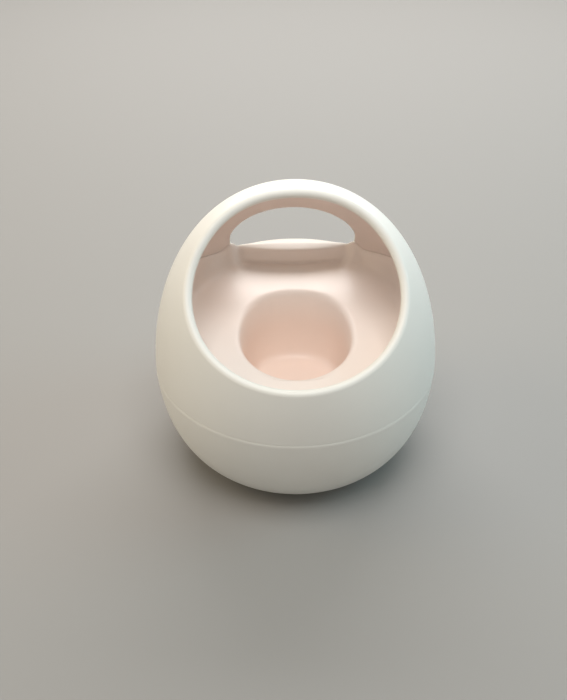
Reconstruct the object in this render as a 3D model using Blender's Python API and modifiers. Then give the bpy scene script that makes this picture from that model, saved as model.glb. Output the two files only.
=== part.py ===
"""Egg-shaped potty chair for a toddler.

A white egg in two halves: the base stands on four rubber feet, and the upper shell has an
oblique opening over the seat and a carrying hole in its hood. A pink lining faces the hood
inside, and a pink tray with a bowl and a grip lip stands on a cone inside the base. The upper
shell lifts straight off the base, and then the tray lifts out.

X is to the sitter's left, the sitter faces -Y, and Z is up from the floor. Lengths are metres.
"""

import math

import bmesh
import bpy
from mathutils import Vector

# The egg: a body of revolution whose meridian is a superellipse above and below its girth.
BODY_RADIUS = 0.160
BODY_TOP = 0.322
GIRTH_Z = 0.1126
UPPER_POWER = 2.375
LOWER_MIDDLE_Z = 0.1257
LOWER_DEPTH = 0.1412
LOWER_POWER_R = 3.68
LOWER_POWER_Z = 2.07
PARTING_Z = 0.118
PARTING_GAP = 0.0004
FLOOR_Z = 0.0015
WALL = 0.003

# The opening: seen from the side, a straight cut that bends forward into an arc.
CUT_KNEE = (-0.0269, 0.2631)
CUT_SLOPE = math.radians(46.75)
CUT_ARC_RADIUS = 0.387
CUT_MIDDLE = -0.045
RIM_RADIUS = 0.0055
RIM_SKIRT = 0.009

# The carrying hole in the hood: flat below, domed above.
HOLE_HALF_WIDTH = 0.0748
HOLE_MIDDLE_Z = 0.200
HOLE_RISE = 0.0413
HOLE_DROP = 0.0220
HOLE_POWER_ABOVE = 2.15
HOLE_POWER_BELOW = 4.0

# The hood's lining and the line where the tray meets it.
LINING_INSET = 0.0042
LINING_WALL = 0.0025
SEAM_GAP = 0.0008
SEAM_MEAN_Z = 0.18655
SEAM_TILT = 0.00492
SEAM_SADDLE = 0.01914
SEAM_HORN = 0.012
SEAM_HORN_AT = math.radians(31)
SEAM_HORN_SPREAD = math.radians(4.2)
LINING_FRONT = math.radians(-38)

# The tray and its bowl.
DECK_Z = 0.165
TRAY_WALL = 0.003
BOWL_MIDDLE_Y = -0.0228
BOWL_HALF_WIDTH = 0.0605
BOWL_HALF_LENGTH = 0.0800
BOWL_REAR_LEAN = 0.0110
BOWL_FLOOR_Z = 0.085
BOWL_POWER = 2.15
BOWL_POWER_SWING = 0.15
LIP_FACE_Y = 0.1192
LIP_FACE_BEND = 0.0092
LIP_EDGE_Z = 0.1845
LIP_CREST_Y = 0.1335
LIP_CREST_BEND = -0.0040
LIP_CREST_Z = 0.1868
LIP_CROWN = 0.001
LIP_HALF_ANGLE = math.radians(32)
LIP_BLEND = math.radians(3)

# The cone that carries the tray, its screws and the feet that cover them.
CONE_TOP_RADIUS = 0.1295
CONE_FOOT_RADIUS = 0.1000
CONE_FOOT_Z = 0.0100
CONE_TOP_Z = 0.1616
CONE_WALL = 0.003
FOOT_CIRCLE = 0.085
FOOT_RADIUS = 0.011
FIT_GAP = 0.0003

AROUND = 40
ALONG = 11


def smooth_step(value):
    value = min(1.0, max(0.0, value))
    return value * value * (3 - 2 * value)


def body_radius(z, inset=0.0):
    """The egg's radius at height z, for the surface that lies inset inside the outer one."""
    radius = BODY_RADIUS - inset
    if z >= GIRTH_Z:
        share = (z - GIRTH_Z) / (BODY_TOP - inset - GIRTH_Z)
        return radius * max(0.0, 1 - share**2) ** (1 / UPPER_POWER)
    share = max(0.0, LOWER_MIDDLE_Z - z) / (LOWER_DEPTH - inset)
    return radius * max(0.0, 1 - share**LOWER_POWER_Z) ** (1 / LOWER_POWER_R)


def outside(point, inset):
    """Positive outside the inset egg, negative inside it."""
    return math.hypot(point.x, point.y) - body_radius(point.z, inset)


def last_inside(point_at, far, inset):
    """The distance along point_at, a function of distance, at which it leaves the inset egg."""
    near = 0.0
    for _ in range(44):
        middle = (near + far) / 2
        if outside(point_at(middle), inset) < 0:
            near = middle
        else:
            far = middle
    return near


def body_normal(point, inset):
    step = 1e-5
    slope = [
        outside(point + axis * step, inset) - outside(point - axis * step, inset)
        for axis in (Vector((1, 0, 0)), Vector((0, 1, 0)), Vector((0, 0, 1)))
    ]
    return Vector(slope).normalized()


FOCUS = Vector((0.0, 0.0, 0.15))


def on_body(direction, inset):
    reach = last_inside(lambda t: FOCUS + direction * t, 0.4, inset)
    return FOCUS + direction * reach


def cut_point(distance):
    """A point (y, z) of the cut's side line, measured along it from the knee."""
    knee_y, knee_z = CUT_KNEE
    if distance > 0:
        return knee_y + distance * math.cos(CUT_SLOPE), knee_z + distance * math.sin(CUT_SLOPE)
    turn = CUT_SLOPE + distance / CUT_ARC_RADIUS
    return (
        knee_y + CUT_ARC_RADIUS * (math.sin(turn) - math.sin(CUT_SLOPE)),
        knee_z - CUT_ARC_RADIUS * (math.cos(turn) - math.cos(CUT_SLOPE)),
    )


def rim_middle(angle):
    """The middle of the rolled rim, at an angle that runs from +X over the hood to -X."""

    def point_at(reach):
        y, z = cut_point(CUT_MIDDLE + reach * math.sin(angle))
        return Vector((reach * math.cos(angle), y, z))

    return point_at(last_inside(point_at, 0.2, RIM_RADIUS))


class Meridian:
    """The way over the egg from the rim to the parting line, at one angle round the opening."""

    def __init__(self, angle):
        self.middle = rim_middle(angle)
        self.normal = body_normal(self.middle, RIM_RADIUS)
        self.start = (self.middle + self.normal * RIM_RADIUS - FOCUS).normalized()
        girth = BODY_RADIUS * 0.9999
        bottom = Vector((girth * math.cos(angle), girth * math.sin(angle), PARTING_Z))
        self.end = (bottom - FOCUS).normalized()
        ahead = self.at(0.02, 0.0) - self.at(0.0, 0.0)
        self.down = (ahead - self.normal * ahead.dot(self.normal)).normalized()
        self.length = sum(
            (self.at((i + 1) / 12, 0.0) - self.at(i / 12, 0.0)).length for i in range(12)
        )

    def at(self, share, inset):
        return on_body(self.start.slerp(self.end, share), inset)

    def rim(self, turn, reach=0.0):
        """A point of the rolled rim: turn 0 is its outer side, pi its inner side."""
        away = self.normal * math.cos(turn) - self.down * math.sin(turn)
        return self.middle + away * RIM_RADIUS + self.down * reach

    def share_at(self, distance):
        return distance / self.length


def seam_height(azimuth):
    """The tray's top edge, low in front and high at the sides, with a horn beside the hole."""
    aside = abs(azimuth - math.pi / 2) - SEAM_HORN_AT
    level = SEAM_MEAN_Z + SEAM_TILT * math.sin(azimuth) + SEAM_SADDLE * math.cos(2 * azimuth)
    level += (LIP_CREST_Z - level) * smooth_step(-aside / math.radians(12))
    return level + SEAM_HORN * math.exp(-((aside / SEAM_HORN_SPREAD) ** 2))


def azimuth_of(point):
    return math.atan2(point.y, point.x)


def material(name, colour, roughness):
    made = bpy.data.materials.new(name)
    made.use_nodes = True
    shader = made.node_tree.nodes["Principled BSDF"]
    shader.inputs["Base Color"].default_value = (*colour, 1)
    shader.inputs["Roughness"].default_value = roughness
    shader.inputs["Metallic"].default_value = 1.0 if name == "screw_steel" else 0.0
    return made


def add_object(name, mesh, collection, finish=None):
    made = bpy.data.objects.new(name, mesh)
    collection.objects.link(made)
    if finish:
        mesh.materials.append(finish)
    return made


def shade(obj):
    obj.data.shade_smooth()
    obj.data.set_sharp_from_angle(angle=math.radians(40))


def loft(name, rings, collection, finish=None, ring_loop=False):
    """A closed solid through rings of points. A ring of one point is a pole.

    ring_loop joins the last ring to the first. Otherwise each end that isn't a pole is capped.
    """
    shape = bmesh.new()
    rows = [[shape.verts.new(point) for point in ring] for ring in rings]
    pairs = list(zip(rows, rows[1:]))
    if ring_loop:
        pairs.append((rows[-1], rows[0]))
    for first, second in pairs:
        count = max(len(first), len(second))
        for i in range(count):
            j = (i + 1) % count
            corners = [first[i % len(first)], first[j % len(first)]]
            corners += [second[j % len(second)], second[i % len(second)]]
            shape.faces.new(list(dict.fromkeys(corners)))
    if not ring_loop:
        for row in (rows[0], rows[-1]):
            if len(row) > 1:
                shape.faces.new(row)
    bmesh.ops.recalc_face_normals(shape, faces=shape.faces)
    mesh = bpy.data.meshes.new(name)
    shape.to_mesh(mesh)
    shape.free()
    made = add_object(name, mesh, collection, finish)
    shade(made)
    return made


def turned(name, profile, collection, finish=None, steps=AROUND):
    """A turned solid from a profile of (radius, height) that runs down its outer side."""
    mesh = bpy.data.meshes.new(name)
    points = [(radius, 0.0, height) for radius, height in profile]
    closed = profile[0][0] > 0
    links = [(i, i + 1) for i in range(len(points) - 1)]
    if closed:
        links.append((len(points) - 1, 0))
    mesh.from_pydata(points, links, [])
    made = add_object(name, mesh, collection, finish)
    screw = made.modifiers.new("Turn", "SCREW")
    screw.steps = screw.render_steps = steps
    screw.use_merge_vertices = True
    screw.merge_threshold = 1e-5
    screw.use_smooth_shade = True
    return made


def cylinder(name, radius, low, high, place, collection):
    shape = bmesh.new()
    bmesh.ops.create_cone(
        shape, cap_ends=True, segments=20, radius1=radius, radius2=radius, depth=high - low
    )
    mesh = bpy.data.meshes.new(name)
    shape.to_mesh(mesh)
    shape.free()
    made = add_object(name, mesh, collection)
    made.location = (place[0], place[1], (low + high) / 2)
    return made


def boolean(obj, other, operation):
    """Joins or cuts obj with a helper, which stays out of the render."""
    step = obj.modifiers.new(operation.title(), "BOOLEAN")
    step.object = other
    step.operation = operation
    step.solver = "EXACT"
    other.hide_render = True
    other.display_type = "WIRE"


def hole_outline(grow=0.0, count=40):
    """The carrying hole seen from behind, as (x, z) points."""
    points = []
    for i in range(count):
        turn = 2 * math.pi * i / count
        c, s = math.cos(turn), math.sin(turn)
        power = HOLE_POWER_ABOVE if s > 0 else HOLE_POWER_BELOW
        height = (HOLE_RISE if s > 0 else HOLE_DROP) + grow
        x = (HOLE_HALF_WIDTH + grow) * math.copysign(abs(c) ** (2 / power), c)
        z = HOLE_MIDDLE_Z + height * math.copysign(abs(s) ** (2 / power), s)
        points.append((x, z))
    return points


def hole_cutter(name, grow, collection):
    near, far = 0.06, 0.20
    outline = hole_outline(grow)
    rings = [[Vector((x, y, z)) for x, z in outline] for y in (near, far)]
    return loft(name, rings, collection)


def upper_shell(meridians, parts, cutters, finish):
    """The upper half of the egg, with a rolled rim round the opening."""
    rings = []
    low = PARTING_Z + PARTING_GAP
    for i in range(ALONG, 0, -1):
        rings.append([line.at(i / ALONG, 0.0) for line in meridians])
    for turn in (0.0, 45.0, 90.0, 135.0, 180.0):
        rings.append([line.rim(math.radians(turn)) for line in meridians])
    rings.append([line.rim(math.pi, RIM_SKIRT * 0.55) for line in meridians])
    skirt = [line.share_at(RIM_SKIRT) for line in meridians]
    for i in range(ALONG):
        rings.append(
            [
                line.at(start + (1 - start) * i / (ALONG - 1), WALL)
                for line, start in zip(meridians, skirt)
            ]
        )
    for ring in (rings[0], rings[-1]):
        for point in ring:
            point.z = low
    shell = loft("upper_shell", rings, parts, finish, ring_loop=True)
    boolean(shell, hole_cutter("upper_shell_hole", 0.0, cutters), "DIFFERENCE")
    return shell


def hood_lining(parts, cutters, finish):
    """The hood's inner face, from the rolled rim down to the tray, with the hole as a notch."""
    rings = []
    steps = 48
    rows = 8
    nearby = [math.radians(turn) for turn in (-3, -1.5, 0, 1.5, 3)]
    for i in range(steps + 1):
        angle = LINING_FRONT + (math.pi - 2 * LINING_FRONT) * i / steps
        line = Meridian(angle)
        top = line.share_at(RIM_SKIRT + 0.0015)
        low, high = top, 1.0
        for _ in range(40):
            middle = (low + high) / 2
            point = line.at(middle, LINING_INSET)
            seam = max(seam_height(azimuth_of(point) + turn) for turn in nearby)
            if point.z > seam + SEAM_GAP:
                low = middle
            else:
                high = middle
        shares = [top + (low - top) * k / (rows - 1) for k in range(rows)]
        ring = [line.at(share, LINING_INSET) for share in shares]
        ring += [line.at(share, LINING_INSET + LINING_WALL) for share in reversed(shares)]
        rings.append(ring)
    lining = loft("hood_lining", rings, parts, finish)
    boolean(lining, hole_cutter("hood_lining_hole", FIT_GAP, cutters), "DIFFERENCE")
    return lining


def tray_turns():
    """The angles of the tray's rings, which lie closer together at the back, at the lip."""
    front = [math.radians(135 + 270 * i / 26) for i in range(26)]
    return front + [math.radians(45 + 4.5 * i) for i in range(20)]


def bowl_ring(grow, height, lean=0.0):
    """A level ring of the bowl, a rounded oval grown outwards from the bowl's wall.

    lean is how far down the rear wall it lies, from 0 at the deck to 1 at the floor.
    """
    ring = []
    for turn in tray_turns():
        c, s = math.cos(turn), math.sin(turn)
        across, along = BOWL_HALF_WIDTH + grow, BOWL_HALF_LENGTH + grow
        if s > 0:
            along -= BOWL_REAR_LEAN * lean
        power = BOWL_POWER + BOWL_POWER_SWING * s
        size = (abs(c / across) ** power + abs(s / along) ** power) ** (-1 / power)
        ring.append(Vector((size * c, BOWL_MIDDLE_Y + size * s, height)))
    return ring


def tray_ring(back, rise, lip_y, lip_z, bend=0.0):
    """A ring of the tray near its edge.

    back is how far it stays inside the edge and rise is its share of the edge's height.
    Behind the seat the ring changes to the lip, a bar across the tray at lip_y and lip_z
    whose ends lie bend further back than its middle.
    """
    ring = []
    for turn in tray_turns():
        turn = (turn + math.pi / 2) % (2 * math.pi) - math.pi / 2
        top = seam_height(turn)
        height = DECK_Z + (top - DECK_Z) * rise
        reach = body_radius(top, LINING_INSET + LINING_WALL) - back
        share = smooth_step(
            (LIP_HALF_ANGLE + LIP_BLEND - abs(turn - math.pi / 2)) / (2 * LIP_BLEND)
        )
        aside = reach * math.cos(turn) / HOLE_HALF_WIDTH
        bar = min(reach, (lip_y + bend * aside**2) / max(0.5, math.sin(turn)))
        crown = LIP_CROWN * math.cos(math.pi * aside / 2) * (lip_z > DECK_Z + 0.01)
        reach += (bar - reach) * share
        height += (lip_z + crown - height) * share
        ring.append(Vector((reach * math.cos(turn), reach * math.sin(turn), height)))
    return ring


def potty_insert(parts, finish):
    """The tray, its bowl and the grip lip, as one thin moulding."""
    floor = Vector((0.0, BOWL_MIDDLE_Y, BOWL_FLOOR_Z))
    top = [
        [floor],
        bowl_ring(-0.0220, BOWL_FLOOR_Z, 1.0),
        bowl_ring(-0.0110, BOWL_FLOOR_Z + 0.0025, 1.0),
        bowl_ring(-0.0060, BOWL_FLOOR_Z + 0.0095, 0.95),
        bowl_ring(-0.0030, BOWL_FLOOR_Z + 0.0350, 0.55),
        bowl_ring(0.0000, DECK_Z - 0.0130, 0.1),
        bowl_ring(0.0015, DECK_Z - 0.0050),
        bowl_ring(0.0050, DECK_Z - 0.0008),
        bowl_ring(0.0100, DECK_Z),
        tray_ring(0.0260, 0.0, 0.1130, DECK_Z),
        tray_ring(0.0110, 0.2, LIP_FACE_Y, DECK_Z + 0.0010, 0.006),
        tray_ring(0.0035, 0.6, LIP_FACE_Y, LIP_EDGE_Z - 0.0015, LIP_FACE_BEND),
        tray_ring(0.0, 0.97, LIP_FACE_Y + 0.0020, LIP_EDGE_Z, LIP_FACE_BEND),
        tray_ring(-0.0006, 1.0, LIP_CREST_Y, LIP_CREST_Z, LIP_CREST_BEND),
    ]
    edge = LINING_WALL - 0.0004
    under = DECK_Z - TRAY_WALL
    bottom = [
        tray_ring(-edge, 1.0, 1.0, LIP_CREST_Z - 0.0015),
        tray_ring(-edge, 0.4, 1.0, DECK_Z + 0.006),
        tray_ring(-edge + 0.0003, 0.0, 1.0, under),
        tray_ring(0.0100, 0.0, 1.0, under),
        bowl_ring(0.0125, under),
        bowl_ring(0.0075, under - 0.0020),
        bowl_ring(0.0045, under - 0.0080),
        bowl_ring(0.0005, BOWL_FLOOR_Z + 0.0340, 0.5),
        bowl_ring(-0.0030, BOWL_FLOOR_Z + 0.0085, 0.9),
        bowl_ring(-0.0095, BOWL_FLOOR_Z - 0.0010, 1.0),
        bowl_ring(-0.0220, BOWL_FLOOR_Z - TRAY_WALL, 1.0),
        [floor - Vector((0, 0, TRAY_WALL))],
    ]
    for ring in bottom[2:4]:
        for point in ring:
            point.z = under
    return loft("potty_insert", top + bottom, parts, finish)


def base_shell(places, parts, cutters, finish):
    """The lower half of the egg, with a spigot that centres the upper shell."""
    heights = [PARTING_Z * (i / 7) ** 1.3 for i in range(7, 0, -1)]
    outer = [(body_radius(z), z) for z in heights] + [(body_radius(FLOOR_Z), FLOOR_Z)]
    inner_floor = FLOOR_Z + WALL
    inner_heights = [inner_floor + 0.104 * (i / 6) ** 1.3 for i in range(1, 7)]
    inner = [(body_radius(z, WALL) - 0.0004, z) for z in inner_heights]
    spigot = BODY_RADIUS - WALL - 0.0010
    profile = [(spigot, PARTING_Z + 0.0075), (spigot, PARTING_Z)]
    profile += outer
    profile += [(0.0, FLOOR_Z), (0.0, inner_floor), (inner[0][0] - 0.006, inner_floor)]
    profile += inner
    profile += [(spigot - 0.0024, PARTING_Z - 0.004), (spigot - 0.0024, PARTING_Z + 0.0075)]
    middle = profile.index((0.0, FLOOR_Z))
    turned_profile = profile[middle + 1:] + profile[:middle + 1]
    shell = turned("base_shell", turned_profile, parts, finish)
    for i, place in enumerate(places, 1):
        boss = cylinder(f"base_boss_{i}", FOOT_RADIUS + 0.003, FLOOR_Z + 0.001,
                        CONE_FOOT_Z - FIT_GAP, place, cutters)
        boolean(shell, boss, "UNION")
    for i, place in enumerate(places, 1):
        for part, radius, low, high in (
            ("foot", FOOT_RADIUS + FIT_GAP, -0.002, 0.0045),
            ("head", 0.0052, 0.003, 0.0075),
            ("shank", 0.0026, 0.006, 0.012),
        ):
            cutter = cylinder(f"base_{part}_recess_{i}", radius, low, high, place, cutters)
            boolean(shell, cutter, "DIFFERENCE")
    return shell


def support_cone(places, parts, cutters, finish):
    """The cone that stands in the base and carries the tray, with a boss for each screw."""
    flange = 0.070
    profile = [
        (CONE_TOP_RADIUS - CONE_WALL, CONE_TOP_Z),
        (CONE_TOP_RADIUS, CONE_TOP_Z),
        (CONE_TOP_RADIUS, CONE_TOP_Z - 0.006),
        (CONE_FOOT_RADIUS, CONE_FOOT_Z),
        (flange, CONE_FOOT_Z),
        (flange, CONE_FOOT_Z + CONE_WALL),
        (CONE_FOOT_RADIUS - CONE_WALL, CONE_FOOT_Z + CONE_WALL),
        (CONE_TOP_RADIUS - CONE_WALL, CONE_TOP_Z - 0.006),
    ]
    cone = turned("support_cone", profile, parts, finish)
    for i, place in enumerate(places, 1):
        boss = cylinder(f"cone_boss_{i}", 0.0065, CONE_FOOT_Z + 0.001, 0.027, place, cutters)
        boolean(cone, boss, "UNION")
    for i, place in enumerate(places, 1):
        pilot = cylinder(f"cone_pilot_{i}", 0.0025, CONE_FOOT_Z - 0.002, 0.0248, place, cutters)
        boolean(cone, pilot, "DIFFERENCE")
    return cone


def screw_and_foot(number, place, parts, steel, rubber):
    screw = turned(
        f"base_screw_{number}",
        [(0.0, 0.0240), (0.0012, 0.0236), (0.0021, 0.0218), (0.0021, 0.0072),
         (0.0047, 0.0066), (0.0047, 0.0048), (0.0, 0.0048)],
        parts, steel, 12,
    )
    screw.location = (place[0], place[1], 0)
    foot = turned(
        f"rubber_foot_{number}",
        [(0.0, 0.0042), (FOOT_RADIUS, 0.0042), (FOOT_RADIUS, 0.0006),
         (FOOT_RADIUS - 0.0008, 0.0), (0.0, 0.0)],
        parts, rubber, 16,
    )
    foot.location = (place[0], place[1], 0)


def main():
    for obj in list(bpy.data.objects):
        bpy.data.objects.remove(obj)
    parts = bpy.data.collections.new("potty_chair")
    cutters = bpy.data.collections.new("potty_chair_cutters")
    for collection in (parts, cutters):
        bpy.context.scene.collection.children.link(collection)

    white = material("shell_white", (0.86, 0.87, 0.83), 0.42)
    pink = material("liner_pink", (0.90, 0.72, 0.66), 0.42)
    grey = material("cone_white", (0.78, 0.78, 0.76), 0.5)
    steel = material("screw_steel", (0.62, 0.62, 0.62), 0.35)
    rubber = material("foot_rubber", (0.32, 0.32, 0.33), 0.8)

    places = [
        (FOOT_CIRCLE * math.cos(math.radians(turn)), FOOT_CIRCLE * math.sin(math.radians(turn)))
        for turn in (45, 135, 225, 315)
    ]
    meridians = [Meridian(2 * math.pi * i / AROUND) for i in range(AROUND)]
    upper_shell(meridians, parts, cutters, white)
    hood_lining(parts, cutters, pink)
    potty_insert(parts, pink)
    base_shell(places, parts, cutters, white)
    support_cone(places, parts, cutters, grey)
    for number, place in enumerate(places, 1):
        screw_and_foot(number, place, parts, steel, rubber)


main()
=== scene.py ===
import math

import bpy
import numpy as np
from mathutils import Matrix


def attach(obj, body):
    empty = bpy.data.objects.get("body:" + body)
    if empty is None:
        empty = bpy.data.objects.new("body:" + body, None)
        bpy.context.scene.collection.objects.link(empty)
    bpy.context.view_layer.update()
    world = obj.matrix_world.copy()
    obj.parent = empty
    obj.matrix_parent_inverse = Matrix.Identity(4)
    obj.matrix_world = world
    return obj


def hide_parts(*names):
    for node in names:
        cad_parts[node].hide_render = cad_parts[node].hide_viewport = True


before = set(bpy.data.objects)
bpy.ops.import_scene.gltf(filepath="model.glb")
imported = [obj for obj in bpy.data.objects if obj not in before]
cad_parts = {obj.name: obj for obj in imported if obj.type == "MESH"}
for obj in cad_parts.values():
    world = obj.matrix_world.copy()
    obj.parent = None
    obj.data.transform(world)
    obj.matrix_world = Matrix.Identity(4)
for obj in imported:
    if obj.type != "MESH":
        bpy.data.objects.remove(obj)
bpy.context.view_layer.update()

# The egg, as in the CAD model. Metres, the sitter faces -Y.
BODY_RADIUS = 0.160
BODY_TOP = 0.322
GIRTH_Z = 0.1126
UPPER_POWER = 2.375
LOWER_MIDDLE_Z = 0.1257
LOWER_DEPTH = 0.1412
LOWER_POWER_R = 3.68
LOWER_POWER_Z = 2.07
PARTING_Z = 0.118
PARTING_GAP = 0.0002
FLOOR_Z = 0.0015
WALL = 0.003
SEAM_EDGE = 0.00016

CUT_KNEE = (-0.0269, 0.2631)
CUT_SLOPE = math.radians(46.75)
CUT_ARC_RADIUS = 0.387
CUT_MIDDLE = -0.045
RIM_RADIUS = 0.0055
RIM_SKIRT = 0.009

HOLE_HALF_WIDTH = 0.0748
HOLE_MIDDLE_Z = 0.200
HOLE_RISE = 0.0413
HOLE_DROP = 0.0220
HOLE_POWER_ABOVE = 2.15
HOLE_POWER_BELOW = 4.0
HOLE_EDGE = 0.0012
# The block of the shell's grid that is left out round the hole, and the steps that join it up.
BLOCK_BOTTOM_Z = 0.164
BLOCK_TOP_Z = 0.2445
BLOCK_HALF_WIDTH = 0.0905
BLOCK_STEPS = (0.12, 0.26, 0.42, 0.58, 0.74, 0.88)

LINING_INSET = 0.0042
LINING_WALL = 0.0025
LINING_TOP = RIM_SKIRT * 0.55
NOTCH_GAP = 0.0004
NOTCH_SIDE_GAP = 0.0006
NOTCH_TURN_BELOW = 0.6

# The seam between the band and the tray, by the angle round the egg.
SEAM_GAP = 0.0003
SEAM_MEAN_Z = 0.18655
SEAM_TILT = 0.00492
SEAM_SADDLE = 0.01914
SEAM_HORN = 0.012
SEAM_HORN_AT = math.radians(31)
SEAM_HORN_SPREAD = math.radians(4.2)
SEAM_LIP_BLEND = math.radians(12)
LINING_FRONT = math.radians(-38)

DECK_Z = 0.165
TRAY_WALL = 0.003
TRAY_AROUND = 240
BOWL_MIDDLE_Y = -0.0228
BOWL_HALF_WIDTH = 0.0605
BOWL_HALF_LENGTH = 0.0800
BOWL_REAR_LEAN = 0.0110
BOWL_FLOOR_Z = 0.085
BOWL_POWER = 2.15
BOWL_POWER_SWING = 0.15
LIP_FACE_Y = 0.1192
LIP_FACE_BEND = 0.0092
LIP_EDGE_Z = 0.1845
LIP_CREST_Y = 0.1335
LIP_CREST_BEND = -0.0040
LIP_CREST_Z = 0.1868
LIP_CROWN = 0.001
LIP_CROWN_RISE = 0.01
LIP_HALF_ANGLE = math.radians(32)
LIP_BLEND = math.radians(4)
LIP_TAPER = math.radians(5)
LIP_TOP_ANGLE = math.radians(27.5)
LIP_TOP_BLEND = math.radians(1.3)
LIP_TOP_DEPTH = 0.003
NO_LIP = 1.0  # further back than the egg, so that the lip's face changes nothing

SPIGOT_GAP = 0.0010
SPIGOT_WALL = 0.0024
SPIGOT_HEIGHT = 0.0075

# The meridians are drawn with rays from here.
FOCUS = np.array((0.0, 0.0, 0.15))
BISECTIONS = 40

LIGHT_TARGET = np.array((0.0, 0.0, 0.2))
FLOOR_HALF_SIZE = 30.0


def smooth_step(value):
    value = np.clip(value, 0.0, 1.0)
    return value * value * (3 - 2 * value)


def unit(vectors):
    return vectors / np.linalg.norm(vectors, axis=-1, keepdims=True)


def signed_power(value, power):
    return np.copysign(np.abs(value) ** power, value)


def body_radius(z, inset=0.0):
    """The egg's radius at height z, for the surface that lies inset inside the outer one."""
    z = np.asarray(z, float)
    radius = BODY_RADIUS - inset
    above = np.clip((z - GIRTH_Z) / (BODY_TOP - inset - GIRTH_Z), 0, 1)
    below = np.clip((LOWER_MIDDLE_Z - z) / (LOWER_DEPTH - inset), 0, 1)
    upper = (1 - above**2) ** (1 / UPPER_POWER)
    lower = (1 - below**LOWER_POWER_Z) ** (1 / LOWER_POWER_R)
    return radius * np.where(z >= GIRTH_Z, upper, lower)


def outside(points, inset):
    """How far points are outside the egg, level with each."""
    return np.hypot(points[..., 0], points[..., 1]) - body_radius(points[..., 2], inset)


def last_inside(points_at, shape, far, inset):
    """The largest reach, up to far, at which points_at(reach) is still inside the egg."""
    low, high = np.zeros(shape), np.full(shape, far)
    for _ in range(BISECTIONS):
        middle = (low + high) / 2
        inner = outside(points_at(middle), inset) < 0
        low, high = np.where(inner, middle, low), np.where(inner, high, middle)
    return low


def on_body(directions, inset):
    """Where rays from the focus leave the egg."""
    reach = last_inside(
        lambda t: FOCUS + directions * t[..., None], directions.shape[:-1], 0.4, inset
    )
    return FOCUS + directions * reach[..., None]


def body_normals(points, inset=0.0):
    step = 1e-5
    slopes = [
        outside(points + axis * step, inset) - outside(points - axis * step, inset)
        for axis in np.eye(3)
    ]
    return unit(np.stack(slopes, axis=-1))


def slerp(start, end, share):
    """Great-circle steps between unit vectors; share is one number or one per vector."""
    share = np.asarray(share, float)[..., None]
    angle = np.arccos(np.clip((start * end).sum(-1, keepdims=True), -1, 1))
    return (np.sin((1 - share) * angle) * start + np.sin(share * angle) * end) / np.sin(angle)


def cut_points(distance):
    """y and z on the slanted cut, which is straight above its knee and curved below it."""
    knee_y, knee_z = CUT_KNEE
    turn = CUT_SLOPE + np.minimum(distance, 0) / CUT_ARC_RADIUS
    y = knee_y + CUT_ARC_RADIUS * (np.sin(turn) - math.sin(CUT_SLOPE))
    z = knee_z - CUT_ARC_RADIUS * (np.cos(turn) - math.cos(CUT_SLOPE))
    ahead = np.maximum(distance, 0)
    return y + ahead * math.cos(CUT_SLOPE), z + ahead * math.sin(CUT_SLOPE)


class Meridians:
    """Ways over the egg from the rim to the parting line, one at each angle of the opening.

    start and end are directions from the focus, and length is measured on the outer surface.
    """

    def __init__(self, angles):
        def points_at(reach):
            y, z = cut_points(CUT_MIDDLE + reach * np.sin(angles))
            return np.stack([reach * np.cos(angles), y, z], axis=-1)

        reach = last_inside(points_at, angles.shape, 0.2, RIM_RADIUS)
        middle = points_at(reach)
        outer = middle + body_normals(middle, RIM_RADIUS) * RIM_RADIUS
        self.start = unit(outer - FOCUS)
        girth = body_radius(PARTING_Z)
        bottom = np.stack(
            [girth * np.cos(angles), girth * np.sin(angles), np.full_like(angles, PARTING_Z)],
            axis=-1,
        )
        self.end = unit(bottom - FOCUS)
        skin = self.at(0.0, 0.0)
        self.normal = body_normals(skin)
        self.middle = skin - self.normal * RIM_RADIUS
        ahead = self.at(0.02, 0.0) - skin
        across = ahead - self.normal * (ahead * self.normal).sum(-1, keepdims=True)
        self.down = unit(across)
        steps = [self.at(share, 0.0) for share in np.linspace(0, 1, 25)]
        self.length = sum(np.linalg.norm(b - a, axis=-1) for a, b in zip(steps, steps[1:]))

    def at(self, share, inset):
        """Points at a share of the way down, on the surface inset inside the outer one."""
        share = np.broadcast_to(share, self.start.shape[:-1])
        return on_body(slerp(self.start, self.end, share), inset)

    def rim(self, turn, reach=0.0):
        """Points round the rolled rim's bead, moved down the meridian by reach."""
        away = self.normal * math.cos(turn) - self.down * math.sin(turn)
        return self.middle + away * RIM_RADIUS + self.down * reach


def off_back(azimuth):
    """How far an azimuth is from the middle of the back, either way."""
    return np.abs((azimuth - math.pi / 2 + math.pi) % (2 * math.pi) - math.pi)


def seam_height(azimuth):
    """The seam's height: a tilted saddle, level with the lip, with a horn at each lip end."""
    aside = off_back(azimuth) - SEAM_HORN_AT
    level = SEAM_MEAN_Z + SEAM_TILT * np.sin(azimuth) + SEAM_SADDLE * np.cos(2 * azimuth)
    level = level + (LIP_CREST_Z - level) * smooth_step(-aside / SEAM_LIP_BLEND)
    return level + SEAM_HORN * np.exp(-((aside / SEAM_HORN_SPREAD) ** 2))


def hole_outline(turns, grow=0.0):
    """The carrying hole seen from behind: x and z at each turn round its middle."""
    c, s = np.cos(turns), np.sin(turns)
    power = np.where(s > 0, HOLE_POWER_ABOVE, HOLE_POWER_BELOW)
    height = np.where(s > 0, HOLE_RISE, HOLE_DROP) + grow
    x = (HOLE_HALF_WIDTH + grow) * signed_power(c, 2 / power)
    return x, HOLE_MIDDLE_Z + height * signed_power(s, 2 / power)


def outline_turns(x, z):
    """The turns at which the hole's outline lies towards the points x and z."""
    height = z - HOLE_MIDDLE_Z
    power = np.where(height > 0, HOLE_POWER_ABOVE, HOLE_POWER_BELOW)
    tall = np.where(height > 0, HOLE_RISE, HOLE_DROP)
    return np.arctan2(
        signed_power(height / tall, power / 2), signed_power(x / HOLE_HALF_WIDTH, power / 2)
    )


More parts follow.
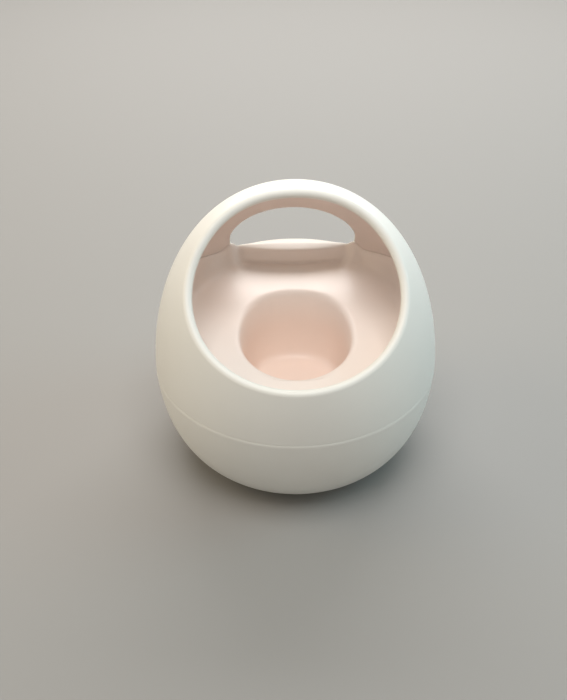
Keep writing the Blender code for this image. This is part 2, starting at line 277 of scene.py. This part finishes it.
def on_back(x, z, inset):
    """Points on the egg's back half from their x and z."""
    y = np.sqrt(np.maximum(body_radius(z, inset) ** 2 - x**2, 0))
    return np.stack([x, y, z], axis=-1)


class Mesher:
    """Collects points and faces. Rows of points are joined as strips of quads."""

    def __init__(self):
        self.points, self.faces = [], []

    def row(self, points):
        first = sum(len(row) for row in self.points)
        self.points.append(np.asarray(points, float).reshape(-1, 3))
        return np.arange(first, first + len(self.points[-1]))

    def strip(self, first, second, wrap=True, skip=()):
        count = len(first)
        for i in range(count if wrap else count - 1):
            if i not in skip:
                j = (i + 1) % count
                self.faces.append((first[i], first[j], second[j], second[i]))

    def fan(self, row, centre):
        count = len(row)
        self.faces += [(row[i], row[(i + 1) % count], centre) for i in range(count)]

    def build(self, name):
        mesh = bpy.data.meshes.new(name)
        faces = [[int(i) for i in face] for face in self.faces]
        mesh.from_pydata(np.concatenate(self.points).tolist(), [], faces)
        mesh.validate()
        made = bpy.data.objects.new(name, mesh)
        bpy.context.scene.collection.objects.link(made)
        bpy.context.view_layer.objects.active = made
        made.select_set(True)
        bpy.ops.object.mode_set(mode="EDIT")
        bpy.ops.mesh.select_all(action="SELECT")
        bpy.ops.mesh.normals_make_consistent(inside=False)
        bpy.ops.object.mode_set(mode="OBJECT")
        made.select_set(False)
        mesh.shade_smooth()
        return made


def perimeter(grid, rows, columns):
    """The vertices round a block of a grid of indices, in order."""
    top, bottom = rows
    left, right = columns
    return np.concatenate(
        [
            grid[top, left:right],
            grid[top:bottom, right],
            grid[bottom, right:left:-1],
            grid[bottom:top:-1, left],
        ]
    )


def edge_arc(radius, steps, wall):
    """(growth of the outline, inset) over both rounded edges of a hole through a wall."""
    turns = np.linspace(0, math.pi / 2, steps)
    outer = [(radius * (1 - math.sin(t)), radius * (1 - math.cos(t))) for t in turns]
    inner = [(grow, wall - inset) for grow, inset in reversed(outer)]
    return outer + inner


def make_upper_shell():
    """The white upper shell: skin, rolled rim, inner wall and parting edge, with the hole."""
    around, along = 288, 84
    lines = Meridians(np.arange(around) * 2 * math.pi / around)
    mesher = Mesher()
    low = PARTING_Z + PARTING_GAP
    shares = np.linspace(0, 1, along)
    outer = [lines.at(share, 0.0) for share in shares]
    skirt = RIM_SKIRT / lines.length
    inner = [lines.at(skirt + (1 - skirt) * share, WALL) for share in shares]
    # Both walls end in an eased edge at the parting line.
    for rows, side in ((outer, 1), (inner, -1)):
        flat = unit(rows[-1] * np.array((1, 1, 0)))
        rows[-1] = rows[-1].copy()
        rows[-1][:, 2] = low + SEAM_EDGE
        lower = rows[-1] - flat * SEAM_EDGE * 0.3 * side
        lower[:, 2] = low + SEAM_EDGE * 0.3
        lowest = rows[-1] - flat * SEAM_EDGE * side
        lowest[:, 2] = low
        rows += [lower, lowest]
    # The bead turns over the rim, then runs down to the start of the inner wall.
    bead = [lines.rim(turn) for turn in np.linspace(0, math.pi, 17)[1:]]
    bead += [lines.rim(math.pi, RIM_SKIRT * share) for share in (0.2, 0.4)]
    last, target = bead[-1], inner[0]
    bead += [last + (target - last) * share + lines.down * bulge
             for share, bulge in ((0.35, 0.0012), (0.7, 0.0010))]
    rings = list(reversed(outer)) + bead + inner
    grid = np.array([mesher.row(ring) for ring in rings])

    # The rows of the block that is left out, found along the middle of the back.
    levels = np.array([row[around // 4, 2] for row in outer[:along]])
    wanted = np.where((levels > BLOCK_BOTTOM_Z) & (levels < BLOCK_TOP_Z))[0]
    near, far = wanted[0], wanted[-1]
    total = len(outer)
    outer_rows = (total - 1 - far, total - 1 - near)
    inner_start = total + len(bead)
    inner_rows = (inner_start + near, inner_start + far)
    just_below_middle = (near + far) // 2 + 6
    level = outer[just_below_middle]
    left = next(j for j in range(around // 4, 0, -1) if level[j, 0] > BLOCK_HALF_WIDTH)
    right = around // 2 - left
    holes = [(outer_rows, (left, right)), (inner_rows, (left, right))]
    for i in range(len(grid)):
        skip = set()
        for (top, bottom), (first, second) in holes:
            if top <= i < bottom:
                skip = set(range(first, second))
        mesher.strip(grid[i], grid[(i + 1) % len(grid)], skip=skip)

    # Loops lead from the outer block's edge to the hole, through the wall and back inside.
    loop_out = perimeter(grid, outer_rows, (left, right))
    flipped = grid[inner_rows[0]:inner_rows[1] + 1][::-1]
    height = inner_rows[1] - inner_rows[0]
    loop_in = perimeter(flipped, (0, height), (left, right))
    every = np.concatenate(mesher.points)
    turns = outline_turns(every[loop_out][:, 0], every[loop_out][:, 2])
    edge_x, edge_z = hole_outline(turns, HOLE_EDGE)

    def towards_hole(loop, share, inset):
        x, z = every[loop][:, 0], every[loop][:, 2]
        return mesher.row(on_back(x + (edge_x - x) * share, z + (edge_z - z) * share, inset))

    steps = [loop_out]
    steps += [towards_hole(loop_out, share, 0.0) for share in BLOCK_STEPS]
    steps += [mesher.row(on_back(*hole_outline(turns, grow), inset))
              for grow, inset in edge_arc(HOLE_EDGE, 6, WALL)]
    steps += [towards_hole(loop_in, share, WALL) for share in reversed(BLOCK_STEPS)]
    steps.append(loop_in)
    for first, second in zip(steps, steps[1:]):
        mesher.strip(first, second)
    return mesher.build("upper_shell_skin")


def resample(points, count):
    """Evenly spaced points along a polyline."""
    lengths = np.linalg.norm(np.diff(points, axis=0), axis=1)
    reach = np.concatenate([[0], np.cumsum(lengths)])
    wanted = np.linspace(0, reach[-1], count)
    return np.stack([np.interp(wanted, reach, points[:, k]) for k in range(3)], axis=-1)


def make_hood_lining():
    """The pink band: from under the rim down to the seam, notched round the hole."""
    across, down = 420, 46
    angles = np.linspace(LINING_FRONT, math.pi - LINING_FRONT, across)
    lines = Meridians(angles)
    inset = LINING_INSET + LINING_WALL
    top_share = LINING_TOP / lines.length
    top = slerp(lines.start, lines.end, top_share)
    # The lower edge: the seam on the right, the hole from its right end over to its left end,
    # and the seam on the left.
    low, high = top_share.copy(), np.ones(across)
    for _ in range(BISECTIONS):
        middle = (low + high) / 2
        points = lines.at(middle, inset)
        seam = seam_height(np.arctan2(points[:, 1], points[:, 0])) + SEAM_GAP
        above = points[:, 2] > seam
        low, high = np.where(above, middle, low), np.where(above, high, middle)
    edge = lines.at(low, inset)
    notch_turns = np.linspace(-NOTCH_TURN_BELOW, math.pi + NOTCH_TURN_BELOW, 400)
    notch = on_back(*hole_outline(notch_turns, NOTCH_GAP), inset)
    seam = seam_height(np.arctan2(notch[:, 1], notch[:, 0])) + SEAM_GAP
    notch = notch[notch[:, 2] > seam]
    beside = np.abs(edge[:, 0]) > HOLE_HALF_WIDTH + NOTCH_SIDE_GAP
    right = edge[beside & ((edge[:, 0] > 0) | (edge[:, 1] < 0)) & (angles < math.pi / 2)]
    left = edge[beside & (angles > math.pi / 2)]
    lower = resample(np.concatenate([right, notch, left]), across)
    bottom = unit(lower - FOCUS)
    mesher = Mesher()
    shares = np.linspace(0, 1, down)
    ways = [slerp(top, bottom, np.full(across, share)) for share in shares]
    outer = [on_body(way, LINING_INSET) for way in ways]
    inner = [on_body(way, inset) for way in ways]
    rings = [mesher.row(ring) for ring in outer + inner[::-1]]
    for first, second in zip(rings, rings[1:] + rings[:1]):
        mesher.strip(first, second, wrap=False)
    # The band's two ends are closed with a strip across its thickness.
    for end in (0, across - 1):
        column = [ring[end] for ring in rings]
        for k in range(down - 1):
            a, b = column[k], column[k + 1]
            c, d = column[2 * down - 2 - k], column[2 * down - 1 - k]
            mesher.faces.append((a, b, c, d))
    made = mesher.build("hood_lining_skin")
    made.data.set_sharp_from_angle(angle=math.radians(50))
    return made


def bowl_ring(grow, height, lean=0.0):
    """A ring of the bowl, grown beyond its mouth; lean brings its rear forward, from 0 to 1."""
    turns = np.arange(TRAY_AROUND) * 2 * math.pi / TRAY_AROUND
    c, s = np.cos(turns), np.sin(turns)
    across = BOWL_HALF_WIDTH + grow
    along = BOWL_HALF_LENGTH + grow - BOWL_REAR_LEAN * lean * (s > 0)
    power = BOWL_POWER + BOWL_POWER_SWING * s
    size = (np.abs(c / across) ** power + np.abs(s / along) ** power) ** (-1 / power)
    return np.stack([size * c, BOWL_MIDDLE_Y + size * s, np.full_like(c, height)], axis=-1)


def tray_ring(back, rise, lip_y, lip_z, bend=0.0):
    """A ring of the tray: back from its edge, at a rise from the deck (0) to the seam (1).

    At the rear it turns into the lip, a bar at lip_y and lip_z whose ends bend back by bend.
    """
    turns = np.arange(TRAY_AROUND) * 2 * math.pi / TRAY_AROUND
    top = seam_height(turns)
    height = DECK_Z + (top - DECK_Z) * rise
    reach = body_radius(top, LINING_INSET + LINING_WALL) - back
    half = LIP_HALF_ANGLE - LIP_TAPER * max(0.0, (LIP_EDGE_Z - lip_z) / (LIP_EDGE_Z - DECK_Z))
    share = smooth_step((half + LIP_BLEND - off_back(turns)) / (2 * LIP_BLEND))
    aside = reach * np.cos(turns) / HOLE_HALF_WIDTH
    bar = np.minimum(reach, (lip_y + bend * aside**2) / np.maximum(0.5, np.sin(turns)))
    crown = LIP_CROWN * np.cos(math.pi * aside / 2) * (lip_z > DECK_Z + LIP_CROWN_RISE)
    reach = reach + (bar - reach) * share
    # The lip's top rings keep the seam's height as far as the hole's lower ends.
    if lip_z > LIP_EDGE_Z - LIP_TOP_DEPTH:
        share = smooth_step((LIP_TOP_ANGLE + LIP_TOP_BLEND - off_back(turns)) / (2 * LIP_TOP_BLEND))
    height = height + (lip_z + crown - height) * share
    return np.stack([reach * np.cos(turns), reach * np.sin(turns), height], axis=-1)


def make_insert():
    """The pink tray, bowl and lip: rings from the bowl's floor out to the seam and back under."""
    mesher = Mesher()
    floor = np.array((0.0, BOWL_MIDDLE_Y, BOWL_FLOOR_Z))
    top = [
        bowl_ring(-0.0450, BOWL_FLOOR_Z, 1.0),
        bowl_ring(-0.0220, BOWL_FLOOR_Z, 1.0),
        bowl_ring(-0.0155, BOWL_FLOOR_Z + 0.0007, 1.0),
        bowl_ring(-0.0110, BOWL_FLOOR_Z + 0.0025, 1.0),
        bowl_ring(-0.0080, BOWL_FLOOR_Z + 0.0055, 1.0),
        bowl_ring(-0.0060, BOWL_FLOOR_Z + 0.0100, 0.95),
        bowl_ring(-0.0030, BOWL_FLOOR_Z + 0.0350, 0.55),
        bowl_ring(-0.0004, DECK_Z - 0.0160, 0.15),
        bowl_ring(0.0003, DECK_Z - 0.0090, 0.04),
        bowl_ring(0.0014, DECK_Z - 0.0045),
        bowl_ring(0.0036, DECK_Z - 0.0016),
        bowl_ring(0.0068, DECK_Z - 0.0003),
        bowl_ring(0.0110, DECK_Z),
        tray_ring(0.0420, 0.0, 0.0990, DECK_Z),
        tray_ring(0.0290, 0.0, 0.1110, DECK_Z, 0.002),
        tray_ring(0.0190, 0.05, LIP_FACE_Y - 0.0030, DECK_Z + 0.0002, 0.004),
        tray_ring(0.0135, 0.14, LIP_FACE_Y - 0.0008, DECK_Z + 0.0006, 0.006),
        tray_ring(0.0095, 0.26, LIP_FACE_Y - 0.0006, DECK_Z + 0.0024, 0.007),
        tray_ring(0.0080, 0.34, LIP_FACE_Y - 0.0028, DECK_Z + 0.0056, 0.008),
        tray_ring(0.0060, 0.45, LIP_FACE_Y - 0.0024, DECK_Z + 0.0100, 0.0085),
        tray_ring(0.0034, 0.64, LIP_FACE_Y - 0.0002, LIP_EDGE_Z - 0.0025, LIP_FACE_BEND),
        tray_ring(0.0024, 0.78, LIP_FACE_Y + 0.0003, LIP_EDGE_Z - 0.0008, LIP_FACE_BEND),
        tray_ring(0.0017, 0.88, LIP_FACE_Y + 0.0014, LIP_EDGE_Z, LIP_FACE_BEND),
        tray_ring(0.0010, 0.95, LIP_FACE_Y + 0.0040, LIP_EDGE_Z + 0.0007, 0.006),
        tray_ring(0.0002, 0.99, LIP_CREST_Y - 0.0012, LIP_CREST_Z, -0.003),
        tray_ring(-0.0006, 1.0, LIP_CREST_Y + 0.0012, LIP_CREST_Z - 0.0002, LIP_CREST_BEND),
    ]
    edge = LINING_WALL - 0.0004
    under = DECK_Z - TRAY_WALL
    bottom = [
        tray_ring(-edge + 0.0004, 1.0, NO_LIP, LIP_CREST_Z - 0.0020),
        tray_ring(-edge, 0.96, NO_LIP, LIP_CREST_Z - 0.0030),
        tray_ring(-edge, 0.4, NO_LIP, DECK_Z + 0.006),
        tray_ring(-edge + 0.0003, 0.0, NO_LIP, under),
        tray_ring(0.0100, 0.0, NO_LIP, under),
        bowl_ring(0.0125, under),
        bowl_ring(0.0075, under - 0.0020),
        bowl_ring(0.0045, under - 0.0080),
        bowl_ring(0.0005, BOWL_FLOOR_Z + 0.0340, 0.5),
        bowl_ring(-0.0030, BOWL_FLOOR_Z + 0.0085, 0.9),
        bowl_ring(-0.0095, BOWL_FLOOR_Z - 0.0010, 1.0),
        bowl_ring(-0.0220, BOWL_FLOOR_Z - TRAY_WALL, 1.0),
        bowl_ring(-0.0450, BOWL_FLOOR_Z - TRAY_WALL, 1.0),
    ]
    # A rise of 0 is the deck's top, so the two rings under the deck are brought down.
    for ring in bottom[3:5]:
        ring[:, 2] = under
    rings = [mesher.row(ring) for ring in top + bottom]
    for first, second in zip(rings, rings[1:]):
        mesher.strip(first, second)
    mesher.fan(rings[0], mesher.row(floor)[0])
    mesher.fan(rings[-1], mesher.row(floor - np.array((0, 0, TRAY_WALL)))[0])
    made = mesher.build("potty_insert_skin")
    smooth = made.modifiers.new("Smooth", "SUBSURF")
    smooth.levels = smooth.render_levels = 2
    return made


def make_base_shell():
    """The white lower shell, turned: (radius, height) down the outside and up the inside."""
    around = 256
    turns = np.arange(around) * 2 * math.pi / around
    spigot = BODY_RADIUS - WALL - SPIGOT_GAP
    girth = float(body_radius(PARTING_Z))
    top = PARTING_Z - SEAM_EDGE
    heights = top - (top - FLOOR_Z - 0.001) * np.linspace(0, 1, 60) ** 0.8
    outer = [(spigot, PARTING_Z + SPIGOT_HEIGHT), (spigot, PARTING_Z + 0.0002), (spigot, PARTING_Z),
             (girth - SEAM_EDGE * 1.6, PARTING_Z), (girth - SEAM_EDGE, PARTING_Z),
             (girth - SEAM_EDGE * 0.3, PARTING_Z - SEAM_EDGE * 0.3)]
    outer += [(float(body_radius(z)), float(z)) for z in heights]
    foot = float(body_radius(FLOOR_Z))
    outer += [(foot - 0.0006, FLOOR_Z + 0.0003), (foot - 0.002, FLOOR_Z)]
    outer += [(radius, FLOOR_Z) for radius in (0.100, 0.0965, 0.0735, 0.070, 0.03)]
    inner_floor = FLOOR_Z + WALL
    inner = [(0.03, inner_floor), (0.09, inner_floor)]
    inner += [(float(body_radius(z, WALL)) - 0.0004, float(z))
              for z in inner_floor + 0.104 * np.linspace(0.02, 1, 24) ** 1.3]
    inner += [(spigot - SPIGOT_WALL, PARTING_Z - 0.004),
              (spigot - SPIGOT_WALL, PARTING_Z + SPIGOT_HEIGHT)]
    mesher = Mesher()
    rings = []
    for radius, height in outer + inner:
        rings.append(mesher.row(np.stack(
            [radius * np.cos(turns), radius * np.sin(turns), np.full(around, height)], axis=-1)))
    # The outside's last ring and the inside's first are each closed by a floor of their own.
    low = len(outer) - 1
    for i, (first, second) in enumerate(zip(rings, rings[1:] + rings[:1])):
        if i != low:
            mesher.strip(first, second)
    mesher.fan(rings[low], mesher.row((0, 0, FLOOR_Z))[0])
    mesher.fan(rings[low + 1], mesher.row((0, 0, inner_floor))[0])
    made = mesher.build("base_shell_skin")
    made.data.set_sharp_from_angle(angle=math.radians(60))
    return made


def plastic(name, colour, roughness, grain, painted_bowl_shade=None):
    """Moulded plastic: a fine eggshell grain, faint flow marks in the gloss and faint mottling.

    The last argument, when given, is painted shade: the darker colour that it takes below the
    seat's deck, down into the bowl.
    """
    mottle = tuple(channel * 0.965 for channel in colour)
    mottle_scale, gloss_scale, grain_scale = 9.0, 26.0, 1400.0
    bowl_shade_from, bowl_shade_to = DECK_Z - 0.002, DECK_Z - 0.045
    made = bpy.data.materials.new(name)
    made.use_nodes = True
    nodes, links = made.node_tree.nodes, made.node_tree.links
    shader = nodes["Principled BSDF"]
    shader.inputs["Specular IOR Level"].default_value = 0.5
    place = nodes.new("ShaderNodeTexCoord")

    def noise(scale, detail):
        made_noise = nodes.new("ShaderNodeTexNoise")
        made_noise.inputs["Scale"].default_value = scale
        made_noise.inputs["Detail"].default_value = detail
        links.new(place.outputs["Object"], made_noise.inputs["Vector"])
        return made_noise.outputs["Fac"]

    def ramp(value, low, high):
        spread = nodes.new("ShaderNodeMapRange")
        spread.inputs["From Min"].default_value = 0.3
        spread.inputs["From Max"].default_value = 0.7
        spread.inputs["To Min"].default_value = low
        spread.inputs["To Max"].default_value = high
        links.new(value, spread.inputs["Value"])
        return spread.outputs["Result"]

    mix = nodes.new("ShaderNodeMix")
    mix.data_type = "RGBA"
    mix.inputs["A"].default_value = (*colour, 1)
    mix.inputs["B"].default_value = (*mottle, 1)
    links.new(ramp(noise(mottle_scale, 3.0), 0.0, 1.0), mix.inputs["Factor"])
    result = mix.outputs["Result"]
    # Painted shade: the colour darkens from just under the deck down into the bowl.
    if painted_bowl_shade:
        height = nodes.new("ShaderNodeSeparateXYZ")
        links.new(place.outputs["Object"], height.inputs["Vector"])
        depth = nodes.new("ShaderNodeMapRange")
        depth.interpolation_type = "SMOOTHSTEP"
        depth.inputs["From Min"].default_value = bowl_shade_from
        depth.inputs["From Max"].default_value = bowl_shade_to
        links.new(height.outputs["Z"], depth.inputs["Value"])
        lower = nodes.new("ShaderNodeMix")
        lower.data_type = "RGBA"
        lower.inputs["B"].default_value = (*painted_bowl_shade, 1)
        links.new(result, lower.inputs["A"])
        links.new(depth.outputs["Result"], lower.inputs["Factor"])
        result = lower.outputs["Result"]
    links.new(result, shader.inputs["Base Color"])
    links.new(ramp(noise(gloss_scale, 4.0), roughness - 0.03, roughness + 0.05),
              shader.inputs["Roughness"])
    bump = nodes.new("ShaderNodeBump")
    bump.inputs["Strength"].default_value = grain
    bump.inputs["Distance"].default_value = 0.0002
    links.new(noise(grain_scale, 2.0), bump.inputs["Height"])
    links.new(bump.outputs["Normal"], shader.inputs["Normal"])
    return made


def dress(obj, finish, body, slot, *nodes):
    """Gives a skin its material and body, and puts it in the place of its CAD nodes, which are
    hidden.
    """
    obj.data.materials.clear()
    obj.data.materials.append(finish)
    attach(obj, body)
    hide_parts(*nodes)


def refinish(node, finish):
    """Gives a CAD node that stays visible a better material."""
    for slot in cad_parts[node].material_slots:
        slot.material = finish


def placed(x, y, z, place):
    """The matrix of an object with these axes at this place."""
    return Matrix([[x[i], y[i], z[i], place[i]] for i in range(3)] + [[0, 0, 0, 1]])


def area_light(name, place, size, power, colour):
    data = bpy.data.lights.new(name, "AREA")
    data.shape = "RECTANGLE"
    data.size, data.size_y = size
    data.energy = power
    data.color = colour
    made = bpy.data.objects.new(name, data)
    bpy.context.scene.collection.objects.link(made)
    z = unit(np.array(place, float) - LIGHT_TARGET)
    x = unit(np.cross((0, 0, 1), z))
    made.matrix_world = placed(x, np.cross(z, x), z, place)


def make_floor():
    mesh = bpy.data.meshes.new("floor")
    half = FLOOR_HALF_SIZE
    mesh.from_pydata([(-half, -half, 0), (half, -half, 0), (half, half, 0), (-half, half, 0)],
                     [], [(0, 1, 2, 3)])
    floor = bpy.data.objects.new("floor", mesh)
    bpy.context.scene.collection.objects.link(floor)
    finish = bpy.data.materials.new("floor_paint")
    finish.use_nodes = True
    shader = finish.node_tree.nodes["Principled BSDF"]
    shader.inputs["Base Color"].default_value = (0.30, 0.293, 0.285, 1)
    shader.inputs["Roughness"].default_value = 0.75
    mesh.materials.append(finish)


def make_lights():
    """An even sky and four soft lights; each is a place, a size, a power and a colour."""
    world = bpy.data.worlds.new("studio")
    bpy.context.scene.world = world
    world.use_nodes = True
    sky = world.node_tree.nodes["Background"]
    sky.inputs["Color"].default_value = (1.0, 0.95, 0.85, 1)
    sky.inputs["Strength"].default_value = 0.40
    area_light("key", (0.0, -0.60, 2.35), (1.5, 1.2), 29, (1.0, 0.985, 0.96))
    area_light("back", (0.15, 1.8, 1.3), (2.4, 1.1), 42, (1.0, 0.98, 0.96))
    area_light("warm_left", (-2.0, 0.2, 1.2), (1.2, 1.4), 11, (1.0, 0.78, 0.46))
    area_light("cool_right", (2.0, 0.2, 1.2), (1.2, 1.4), 12, (0.42, 0.84, 1.0))


def make_camera():
    """The photograph's camera, fitted to the outline: its axes, its place and its lens."""
    data = bpy.data.cameras.new("camera")
    data.sensor_width = 36
    data.lens = 56.57
    data.clip_start = 0.01
    camera = bpy.data.objects.new("camera", data)
    bpy.context.scene.collection.objects.link(camera)
    right = (0.9998, -0.0185, -0.0073)
    up = (0.0169, 0.5967, 0.8023)
    back = (-0.0104, -0.8023, 0.5968)
    place = (-0.0267, -1.0161, 0.8799)
    camera.matrix_world = placed(right, up, back, place)
    bpy.context.scene.camera = camera
    bpy.context.scene.view_settings.view_transform = "Standard"


make_floor()
make_lights()
make_camera()
white = plastic("shell_white_grain", (0.88, 0.87, 0.83), 0.42, 0.06)
# The tray's pink darkens into painted shade down in the bowl.
pink = plastic("tray_pink_grain", (0.97, 0.875, 0.82), 0.35, 0.06, painted_bowl_shade=(0.91, 0.76, 0.68))
# The band is a darker pink than the tray: partly its own pink, partly painted shade for its
# down-facing side.
band_pink_and_shade = plastic("band_pink_grain", (0.86, 0.745, 0.69), 0.44, 0.06)
plain = plastic("cone_white_grain", (0.74, 0.74, 0.72), 0.5, 0.1)
steel = plastic("screw_steel_brushed", (0.60, 0.60, 0.60), 0.32, 0.1)
steel.node_tree.nodes["Principled BSDF"].inputs["Metallic"].default_value = 1.0
rubber = plastic("foot_rubber_matt", (0.10, 0.10, 0.105), 0.75, 0.3)

dress(make_upper_shell(), white, "upper", "shell_white", "upper_shell")
dress(make_hood_lining(), band_pink_and_shade, "upper", "liner_pink", "hood_lining")
dress(make_insert(), pink, "tray", "liner_pink", "potty_insert")
dress(make_base_shell(), white, "base", "shell_white", "base_shell")
refinish("support_cone", plain)
for number in range(1, 5):
    refinish(f"base_screw_{number}", steel)
    refinish(f"rubber_foot_{number}", rubber)
